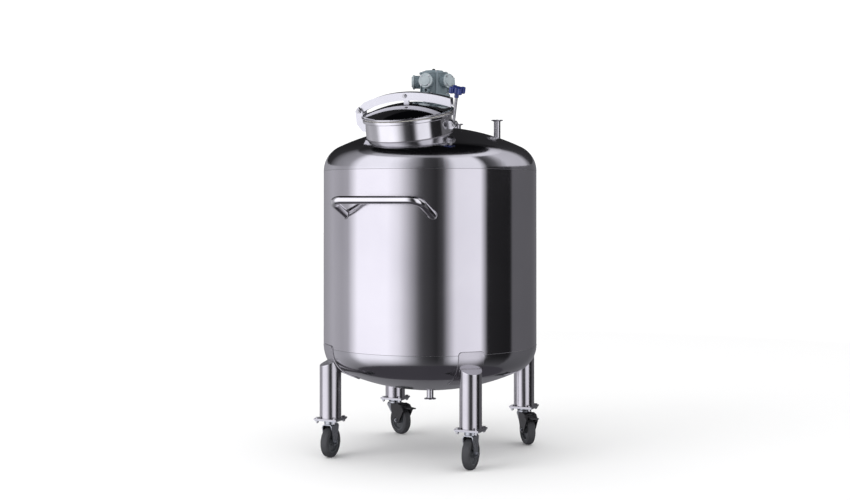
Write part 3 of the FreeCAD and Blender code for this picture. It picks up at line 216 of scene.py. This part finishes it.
mouldedUser = {
    # moulded silicone: pale, soft edged and nearly matt
    "silicone_seal": {"name": "siliconePaleSeal", "dull": "#cfccc2", "bright": "#e2e0d8", "ior": 1.41,
                      "coat": 0.0, "roughness": (0.38, 0.55), "grain": 1.2, "cloud": 30, "relief": 0.15},
    # glossy injection moulded nylon: deep navy with a sharp highlight on each lobe
    "blue_plastic": {"name": "nylonGlossBlue", "dull": "#131d4e", "bright": "#223583", "ior": 1.53,
                     "coat": 0.4, "roughness": (0.18, 0.30), "grain": 0.8, "cloud": 20, "relief": 0.06},
    # pressed carbon: dark grey and dry
    "seal_carbon": {"name": "carbonSealRing", "dull": "#2a2a2d", "bright": "#3a3a3e", "ior": 1.6,
                    "coat": 0.0, "roughness": (0.40, 0.60), "grain": 0.6, "cloud": 12, "relief": 0.12},
    # air drying enamel over sand casting: fine orange peel and darker recesses
    "motor_paint": {"name": "enamelGreyBlueCasting", "dull": "#5d6b72", "bright": "#7f8f97", "ior": 1.5,
                    "coat": 0.25, "roughness": (0.30, 0.50), "grain": 1.6, "cloud": 34, "relief": 0.35},
    # the same enamel over a machined face: paler and smoother than the casting
    "cap_paint": {"name": "enamelPaleMachinedCap", "dull": "#8b979d", "bright": "#b3bdc1", "ior": 1.5,
                  "coat": 0.25, "roughness": (0.25, 0.42), "grain": 1.2, "cloud": 22, "relief": 0.20},
    # glass filled nylon: near black with a low sheen and a faint texture
    "black_plastic": {"name": "nylonGlassFilledBlack", "dull": "#141416", "bright": "#232326", "ior": 1.53,
                      "coat": 0.1, "roughness": (0.32, 0.52), "grain": 0.7, "cloud": 18, "relief": 0.18},
    # solid rubber: matt with a dusty bloom
    "tyre_rubber": {"name": "rubberSolidGrey", "dull": "#2c2d30", "bright": "#46474b", "ior": 1.52,
                    "coat": 0.0, "roughness": (0.55, 0.78), "grain": 1.0, "cloud": 26, "relief": 0.30},
    # moulded polypropylene: dark grey, waxy
    "hub_plastic": {"name": "polypropyleneDarkHub", "dull": "#3c3e42", "bright": "#56595d", "ior": 1.49,
                    "coat": 0.0, "roughness": (0.36, 0.55), "grain": 0.9, "cloud": 24, "relief": 0.18}}

finishes = {slotName: steelFinish(user) for slotName, user in steelUser.items()}
finishes.update({slotName: mouldedFinish(user) for slotName, user in mouldedUser.items()})
slotOf = {part["node"]: part["material_slot"] for part in frame["record"]["subparts"]}
for nodeName, nodeObject in frame["nodes"].items():
    for place in nodeObject.material_slots:
        place.material = finishes[slotOf[nodeName]]
# the legs' sloping caps are polished like the heads, so they mirror the vessel above them
frame["nodes"]["leg_caps"].material_slots[0].material = finishes["head_steel"]
print("finishes set on", len(slotOf), "nodes")

# fused bead that was brushed but not ground away: rippled, a little duller than the sheet
weldUser = {"name": "stainlessWeldBead", "dull": "#8d8b8f", "bright": "#b9b7ba", "roughness": (0.24, 0.42),
            "grain": (3, 3), "lines": "even", "cloud": 12, "grainShare": 0.8, "relief": 0.45, "stretch": 0.0}
weldFinish = steelFinish(weldUser)

# welds follow the sharp edges where two CAD nodes meet, which are found by their distance from the vessel
vesselUser = {"radius": 0.450, "crownRadius": 0.900, "knuckleRadius": 0.112}
barrelLow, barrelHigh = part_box("shell_barrel")


def vesselGap(point):
    # how far a point stands off the outside of the tank
    middle = (barrelLow.z + barrelHigh.z) / 2
    up = 1 if point.z > middle else -1
    seam = barrelHigh.z if up > 0 else barrelLow.z
    reach = math.hypot(point.x, point.y)
    height = (point.z - seam) * up
    if height <= 0:
        return reach - vesselUser["radius"]
    run = vesselUser["radius"] - vesselUser["knuckleRadius"]
    sweep = vesselUser["crownRadius"] - vesselUser["knuckleRadius"]
    rise = math.sqrt(sweep ** 2 - run ** 2)
    if reach * rise < (height + rise) * run:
        return math.hypot(reach, height + rise) - vesselUser["crownRadius"]
    return math.hypot(reach - run, height) - vesselUser["knuckleRadius"]


beadUser = {"structure": 2.6 * millimetre, "pad": 2.0 * millimetre, "port": 2.0 * millimetre,
            "near": 0.8 * millimetre, "merge": 0.02 * millimetre, "sharp": 25, "sides": 3, "smooth": 35,
            "padWall": 4 * millimetre, "aboveSeam": 20 * millimetre, "belowSeam": 100 * millimetre}


def beadAlong(name, nodeName, chosen, radius):
    # a merged copy of the node keeps only its chosen sharp edges, which turn into a tube
    source = frame["nodes"][nodeName]
    guide = bpy.data.objects.new(name + "_guide", source.data.copy())
    bpy.context.collection.objects.link(guide)
    pick(guide)
    bpy.ops.object.mode_set(mode="EDIT")
    bpy.ops.mesh.select_mode(type="VERT")
    bpy.ops.mesh.select_all(action="SELECT")
    bpy.ops.mesh.remove_doubles(threshold=beadUser["merge"])
    bpy.ops.mesh.select_mode(type="EDGE")
    bpy.ops.mesh.select_all(action="DESELECT")
    bpy.ops.mesh.edges_select_sharp(sharpness=math.radians(beadUser["sharp"]))
    bpy.ops.object.mode_set(mode="OBJECT")
    mesh = guide.data
    for edge in mesh.edges:
        ends = [mesh.vertices[number].co for number in edge.vertices]
        edge.select = not (edge.select and chosen(ends[0]) and chosen(ends[1]))
    bpy.ops.object.mode_set(mode="EDIT")
    bpy.ops.mesh.delete(type="EDGE")
    bpy.ops.object.mode_set(mode="OBJECT")
    mesh.materials.clear()
    if not mesh.edges:
        raise SystemExit("no edges found for " + name)
    bpy.ops.object.convert(target="CURVE")
    bead = bpy.context.view_layer.objects.active
    bead.data.bevel_depth = radius
    bead.data.bevel_resolution = beadUser["sides"]
    bead.data.use_fill_caps = True
    bpy.ops.object.convert(target="MESH")
    bead = bpy.context.view_layer.objects.active
    settle(bead, name, "tank", weldFinish, beadUser["smooth"])


near = beadUser["near"]
beadAlong("top_weld_beads", "top_head",
          lambda spot: abs(vesselGap(spot)) < near and spot.z > barrelHigh.z + beadUser["aboveSeam"],
          beadUser["structure"])
beadAlong("drain_weld_bead", "bottom_head",
          lambda spot: abs(vesselGap(spot)) < near and spot.z < barrelLow.z - beadUser["belowSeam"],
          beadUser["port"])
beadAlong("handle_weld_beads", "push_handle", lambda spot: abs(vesselGap(spot)) < near,
          beadUser["structure"])
beadAlong("pad_weld_beads", "leg_pads", lambda spot: abs(vesselGap(spot)) < near, beadUser["pad"])
beadAlong("leg_weld_beads", "leg_tubes", lambda spot: abs(vesselGap(spot) - beadUser["padWall"]) < near,
          beadUser["structure"])
beadAlong("cap_weld_beads", "leg_caps", lambda spot: abs(vesselGap(spot) - beadUser["padWall"]) < near,
          beadUser["structure"])
print("welds follow the pads, legs, ports and handle")

jointAt = {joint["name"]: joint for joint in frame["joints"]}
ringUser = {"around": 96, "across": 8, "smooth": 60}


def ringAround(name, user, centre, axis, body, finish):
    deselectAll()
    bpy.ops.mesh.primitive_torus_add(
        major_radius=user["radius"] * millimetre, minor_radius=user["thick"] * millimetre,
        major_segments=ringUser["around"], minor_segments=ringUser["across"], location=centre,
        rotation=Vector(axis).to_track_quat("Z", "Y").to_euler())
    settle(bpy.context.active_object, name, body, finish, ringUser["smooth"])


# the girth welds, ground nearly flush
seamUser = {"radius": 450.1, "thick": 0.7}
for label, height in (("low", barrelLow.z), ("high", barrelHigh.z)):
    ringAround("shell_seam_" + label, seamUser, (0, 0, height), (0, 0, 1), "tank", weldFinish)

# the seal swells a little out of the joint between rim and lid
gasketUser = {"radius": 183.0, "thick": 1.3, "tilt": 13.5}
gasketTilt = math.radians(gasketUser["tilt"])
gasketLow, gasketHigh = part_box("lid_gasket")
ringAround("gasket_bulge", gasketUser, (gasketLow + gasketHigh) / 2,
           (0, -math.sin(gasketTilt), math.cos(gasketTilt)), "tank", finishes["silicone_seal"])

# mould line round each tyre, and dust seals over the swivel races
tyreUser = {"radius": 62.3, "thick": 0.4}
sealUser = {"radius": 28.8, "thick": 1.1, "lift": 7.6}
for spot in ("front_left", "front_right", "rear_left", "rear_right"):
    wheel = jointAt["wheel_spin_" + spot]
    ringAround("tyre_mould_line_" + spot, tyreUser, wheel["pos_m"], wheel["axis"],
               "wheel_" + spot, finishes["tyre_rubber"])
for spot in ("rear_left", "rear_right"):
    race = Vector(jointAt["swivel_" + spot]["pos_m"]) + Vector((0, 0, sealUser["lift"] * millimetre))
    ringAround("dust_seal_" + spot, sealUser, race, (0, 0, 1),
               "swivel_" + spot, finishes["black_plastic"])

# cooling fins round the five cylinders
finUser = {"radius": 27.6, "thick": 1.2, "reaches": (62, 67, 72, 77), "angles": (-90, -18, 54, 126, 198)}
headLow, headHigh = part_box("cylinder_heads")
motorAxis = jointAt["agitator_spin"]["pos_m"]
motorCentre = Vector((motorAxis[0], motorAxis[1], (headLow.z + headHigh.z) / 2))
for number, angle in enumerate(finUser["angles"]):
    way = Vector((math.cos(math.radians(angle)), math.sin(math.radians(angle)), 0))
    for place, reach in enumerate(finUser["reaches"]):
        ringAround(f"cylinder_fin_{number}_{place}", finUser, motorCentre + way * reach * millimetre, way,
                   "tank", finishes["motor_paint"])

# rolled thread on the swing bolt, under the knob
threadUser = {"radius": 6.0, "ridge": 0.35, "corners": 6, "pitch": 1.75, "start": 76, "turns": 36, "steps": 20,
              "merge": 0.01, "smooth": 50}
deselectAll()
bpy.ops.mesh.primitive_circle_add(
    vertices=threadUser["corners"], radius=threadUser["ridge"] * millimetre, rotation=(math.pi / 2, 0, 0),
    location=(threadUser["radius"] * millimetre, 0, 0))
thread = bpy.context.active_object
bpy.ops.object.transform_apply(location=True, rotation=True, scale=True)
winding = thread.modifiers.new("winding", "SCREW")
winding.screw_offset = threadUser["pitch"] * millimetre
winding.iterations = threadUser["turns"]
winding.steps = threadUser["steps"]
winding.render_steps = threadUser["steps"]
bpy.ops.object.modifier_apply(modifier="winding")
bpy.ops.object.mode_set(mode="EDIT")
bpy.ops.mesh.select_all(action="SELECT")
bpy.ops.mesh.remove_doubles(threshold=threadUser["merge"] * millimetre)
bpy.ops.mesh.select_all(action="DESELECT")
bpy.ops.mesh.select_non_manifold()  # the two open ends
bpy.ops.mesh.edge_face_add()
bpy.ops.mesh.select_all(action="SELECT")
bpy.ops.mesh.normals_make_consistent(inside=False)
bpy.ops.object.mode_set(mode="OBJECT")
boltAxis = Vector(jointAt["knob_spin"]["axis"])
thread.location = Vector(jointAt["knob_spin"]["pos_m"]) + boltAxis * threadUser["start"] * millimetre
thread.rotation_euler = boltAxis.to_track_quat("Z", "Y").to_euler()
settle(thread, "swing_bolt_thread", "swing_bolt", finishes["fastener_steel"],
       threadUser["smooth"])
print("seams, seals, fins and thread added")

studioUser = {
    "radius": 5.2, "steps": 180, "discSteps": 96, "overlap": 0.1, "floor": "#f5f5f5", "floorRadius": 40.0,
    "ceiling": "#0b0b0d", "below": "#4c4a50", "tint": "#efeef6", "room": 1.12,
    "key": 60, "keySize": 2.5, "keyPlace": (-2.2, -3.6, 3.8),
    # how bright the cloth is round the room at each height; azimuth 0 is the front and 90 the right
    "foot": -4.6,
    "under": ((-150, 0.22), (-60, 0.30), (-20, 0.28), (10, 0.14), (40, 0.10), (60, 0.22), (90, 0.12),
              (150, 0.14)),
    "low": -1.1,
    "ring": ((-150, 0.30), (-118, 0.52), (-100, 0.68), (-80, 0.60), (-70, 0.66), (-56, 1.68), (-20, 1.72),
             (-8, 1.38), (4, 0.66), (13, 0.16), (18, 0.09), (30, 0.04), (37, 0.10), (43, 0.72), (49, 1.32),
             (76, 1.42), (80, 0.7), (84, 0.03), (115, 0.02), (118, 0.19), (160, 0.17), (192, 0.24),
             (205, 0.20)),
    "high": 2.0,
    "upper": ((-150, 0.02), (-112, 0.05), (-92, 0.40), (-70, 0.55), (-56, 1.62), (-20, 1.66), (-8, 1.35),
              (4, 0.66), (18, 0.10), (30, 0.05), (37, 0.12), (49, 1.32), (76, 1.42), (84, 0.05), (96, 0.20),
              (112, 0.95), (146, 0.85), (158, 0.06), (205, 0.02)),
    "line": 6.2,
    "over": ((-150, 0.02), (-100, 0.04), (-70, 0.25), (-56, 0.70), (-20, 0.75), (0, 0.75), (24, 0.45),
             (36, 0.45), (50, 1.0), (90, 1.25), (130, 1.15), (150, 0.80), (162, 0.02)),
    "top": 8.2}


def glowMaterial(name, hexColour):
    # a cloth that shines only by its own stored brightness
    material, shader = newMaterial(name, {"Base Color": (0, 0, 0, 1), "Specular IOR Level": 0.0,
                                          "Emission Color": linearColour(hexColour)})
    glow = addNode(material, "ShaderNodeAttribute", {"attribute_name": "glow"})
    material.node_tree.links.new(glow.outputs["Fac"], shader.inputs["Emission Strength"])
    return material


def brightnessAt(azimuth, knots):
    wrapped = (azimuth - knots[0][0]) % 360 + knots[0][0]
    closing = knots + ((knots[0][0] + 360, knots[0][1]),)
    for (start, low), (stop, high) in zip(closing, closing[1:]):
        if wrapped <= stop:
            break
    return low + (high - low) * (wrapped - start) / (stop - start)


def hideFromView(sheet):
    # lights and reflects only in gloss, so the room behind the tank stays plain from every side
    sheet.visible_camera = False
    sheet.visible_diffuse = False
    sheet.visible_shadow = False


def studioRing(name, foot, footKnots, top, topKnots):
    deselectAll()
    bpy.ops.mesh.primitive_cylinder_add(
        vertices=studioUser["steps"], radius=studioUser["radius"], depth=top - foot, end_fill_type="NOTHING",
        location=(0, 0, (top + foot) / 2))
    ring = bpy.context.active_object
    ring.name = name
    glow = ring.data.attributes.new("glow", "FLOAT", "POINT")
    for number, vertex in enumerate(ring.data.vertices):
        azimuth = math.degrees(math.atan2(vertex.co.x, -vertex.co.y))
        glow.data[number].value = brightnessAt(azimuth, topKnots if vertex.co.z > 0 else footKnots)
    ring.data.materials.append(glowMaterial(name + "_cloth", studioUser["tint"]))
    hideFromView(ring)


def studioDisc(name, height, hexColour):
    deselectAll()
    bpy.ops.mesh.primitive_circle_add(
        vertices=studioUser["discSteps"], radius=studioUser["radius"] + studioUser["overlap"], fill_type="NGON",
        location=(0, 0, height))
    disc = bpy.context.active_object
    disc.name = name
    glow = disc.data.attributes.new("glow", "FLOAT", "POINT")
    for place in glow.data:
        place.value = 1.0
    disc.data.materials.append(glowMaterial(name + "_cloth", hexColour))
    hideFromView(disc)


def studioFloor():
    deselectAll()
    bpy.ops.mesh.primitive_circle_add(vertices=studioUser["discSteps"], radius=studioUser["floorRadius"],
                                      fill_type="NGON")
    floor = bpy.context.active_object
    floor.name = "pale_floor"
    paint, shader = newMaterial("floorPalePaint", {"Base Color": linearColour(studioUser["floor"])})
    shader.inputs["Roughness"].default_value = 0.9
    floor.data.materials.append(paint)
    floor.visible_glossy = False  # the polished steel takes the grey cloth below instead


def studioLight():
    key = bpy.data.lights.new("key_light", "AREA")
    key.size = studioUser["keySize"]
    key.energy = studioUser["key"]
    keyObject = bpy.data.objects.new("key_light", key)
    keyObject.location = studioUser["keyPlace"]
    keyObject.rotation_euler = (-Vector(studioUser["keyPlace"])).to_track_quat("-Z", "Y").to_euler()
    keyObject.visible_glossy = False
    bpy.context.collection.objects.link(keyObject)
    world = bpy.data.worlds.new("white_room")
    world.use_nodes = True
    background = world.node_tree.nodes["Background"]
    background.inputs["Color"].default_value = (1, 1, 1, 1)
    background.inputs["Strength"].default_value = studioUser["room"]
    bpy.context.scene.world = world
    bpy.context.scene.view_settings.view_transform = "Standard"


def studioStage(user):
    studioRing("studio_ring_under", user["foot"], user["under"], user["low"], user["ring"])
    studioRing("studio_ring_low", user["low"], user["ring"], user["high"], user["ring"])
    studioRing("studio_ring_high", user["high"], user["upper"], user["line"], user["upper"])
    studioRing("studio_ring_over", user["line"], user["over"], user["top"], user["over"])
    studioDisc("dark_ceiling", user["top"], user["ceiling"])
    studioDisc("grey_below", user["foot"], user["below"])
    studioFloor()
    studioLight()


cameraUser = {"azimuth": 23.8, "distance": 5.4, "height": 1.043, "lens": 53.9, "sensor": 36,
              "shiftX": -0.006, "shiftY": -0.0547}


def placeCamera():
    turn = math.radians(cameraUser["azimuth"])
    lens = bpy.data.cameras.new("studio_camera")
    lens.lens = cameraUser["lens"]
    lens.sensor_width = cameraUser["sensor"]
    lens.shift_x = cameraUser["shiftX"]
    lens.shift_y = cameraUser["shiftY"]
    holder = bpy.data.objects.new("studio_camera", lens)
    holder.location = (cameraUser["distance"] * math.sin(turn), -cameraUser["distance"] * math.cos(turn),
                       cameraUser["height"])
    holder.rotation_euler = (math.radians(90), 0, turn)
    bpy.context.collection.objects.link(holder)
    bpy.context.scene.camera = holder


studioStage(studioUser)
placeCamera()
print("stage and camera set")
